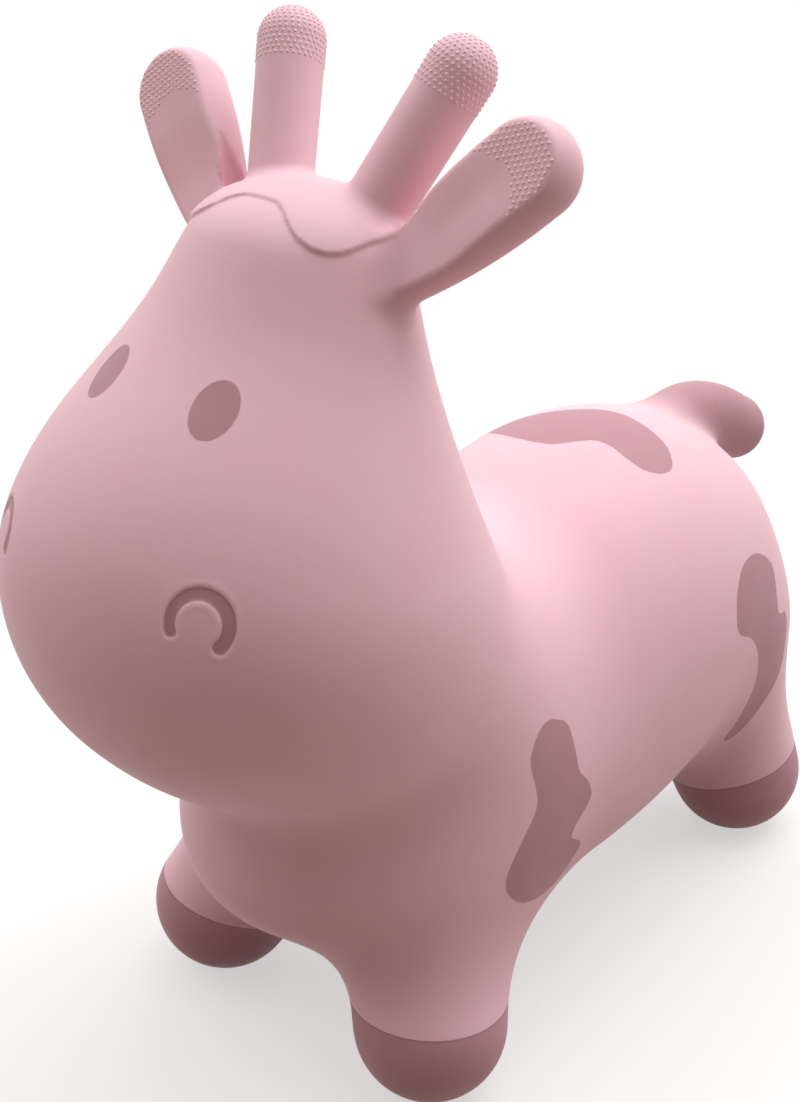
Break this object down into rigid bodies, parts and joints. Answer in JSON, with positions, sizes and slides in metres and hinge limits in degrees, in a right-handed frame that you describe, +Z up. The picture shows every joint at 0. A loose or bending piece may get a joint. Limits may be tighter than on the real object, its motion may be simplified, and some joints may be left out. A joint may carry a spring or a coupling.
{
  "type": "bouncy ride on animal",
  "caption": "Inflated soft vinyl cow for a toddler to sit on and bounce, with horn handles, paddle ears, short splayed legs and a drooping tail.",
  "frame": {"origin": "on the floor, under the middle of the bounding box", "axes": "+Z up, the animal faces -Y, its left side is +X"},
  "size_m": [0.244, 0.5773, 0.5296],
  "materials": {
    "pink_vinyl": "satin pink soft vinyl",
    "mauve_vinyl_paint": "satin mauve paint on soft vinyl",
    "valve_rubber": "matt off-white rubber"
  },
  "bodies": {
    "torso": {"torso_skin": "pink_vinyl", "back_patch": "mauve_vinyl_paint", "left_shoulder_patch": "mauve_vinyl_paint", "left_flank_patch": "mauve_vinyl_paint", "right_shoulder_patch": "mauve_vinyl_paint", "right_flank_patch": "mauve_vinyl_paint", "valve_seat": "valve_rubber"},
    "head": {"head_skin": "pink_vinyl", "forelock": "pink_vinyl", "left_eye": "mauve_vinyl_paint", "right_eye": "mauve_vinyl_paint", "left_nostril": "mauve_vinyl_paint", "right_nostril": "mauve_vinyl_paint"},
    "front_left_leg": {"front_left_leg": "pink_vinyl", "front_left_hoof": "mauve_vinyl_paint"},
    "front_right_leg": {"front_right_leg": "pink_vinyl", "front_right_hoof": "mauve_vinyl_paint"},
    "rear_left_leg": {"rear_left_leg": "pink_vinyl", "rear_left_hoof": "mauve_vinyl_paint"},
    "rear_right_leg": {"rear_right_leg": "pink_vinyl", "rear_right_hoof": "mauve_vinyl_paint"},
    "left_horn": {"left_horn": "pink_vinyl"},
    "left_ear": {"left_ear": "pink_vinyl"},
    "right_horn": {"right_horn": "pink_vinyl"},
    "right_ear": {"right_ear": "pink_vinyl"},
    "tail": {"tail": "pink_vinyl", "tail_tip": "mauve_vinyl_paint"},
    "valve_plug": {"valve_plug": "valve_rubber"}
  },
  "joints": [
    {"name": "neck_flex", "type": "hinge", "parent": "torso", "child": "head", "pos_m": [0, -0.104, 0.16], "axis": [1, 0, 0], "range_deg": [-4, 6], "stiffness_Nm_per_rad": 60},
    {"name": "front_left_hip", "type": "hinge", "parent": "torso", "child": "front_left_leg", "pos_m": [0.06184, -0.11762, 0.068], "axis": [-0.8, -0.6, 0], "range_deg": [-5, 12], "stiffness_Nm_per_rad": 25},
    {"name": "front_right_hip", "type": "hinge", "parent": "torso", "child": "front_right_leg", "pos_m": [-0.06184, -0.11762, 0.068], "axis": [-0.8, 0.6, 0], "range_deg": [-5, 12], "stiffness_Nm_per_rad": 25},
    {"name": "rear_left_hip", "type": "hinge", "parent": "torso", "child": "rear_left_leg", "pos_m": [0.07413, 0.16228, 0.068], "axis": [0.5145, -0.8575, 0], "range_deg": [-5, 12], "stiffness_Nm_per_rad": 25},
    {"name": "rear_right_hip", "type": "hinge", "parent": "torso", "child": "rear_right_leg", "pos_m": [-0.07413, 0.16228, 0.068], "axis": [0.5145, 0.8575, 0], "range_deg": [-5, 12], "stiffness_Nm_per_rad": 25},
    {"name": "left_horn_flex", "type": "hinge", "parent": "head", "child": "left_horn", "pos_m": [0.02824, -0.12289, 0.46079], "axis": [1, 0, 0], "range_deg": [-25, 15], "stiffness_Nm_per_rad": 1.5},
    {"name": "right_horn_flex", "type": "hinge", "parent": "head", "child": "right_horn", "pos_m": [-0.02824, -0.12289, 0.46079], "axis": [1, 0, 0], "range_deg": [-25, 15], "stiffness_Nm_per_rad": 1.5},
    {"name": "left_ear_flex", "type": "hinge", "parent": "head", "child": "left_ear", "pos_m": [0.05252, -0.13749, 0.43788], "axis": [0.7475, -0.289, -0.598], "range_deg": [-20, 20], "stiffness_Nm_per_rad": 0.8},
    {"name": "right_ear_flex", "type": "hinge", "parent": "head", "child": "right_ear", "pos_m": [-0.05252, -0.13749, 0.43788], "axis": [0.7475, 0.289, 0.598], "range_deg": [-20, 20], "stiffness_Nm_per_rad": 0.8},
    {"name": "tail_flex", "type": "hinge", "parent": "torso", "child": "tail", "pos_m": [0, 0.19398, 0.23698], "axis": [1, 0, 0], "range_deg": [-8, 25], "stiffness_Nm_per_rad": 2},
    {"name": "valve_pull", "type": "slide", "parent": "torso", "child": "valve_plug", "axis": [0, 0, -1], "range_m": [0, 0.02]}
  ]
}
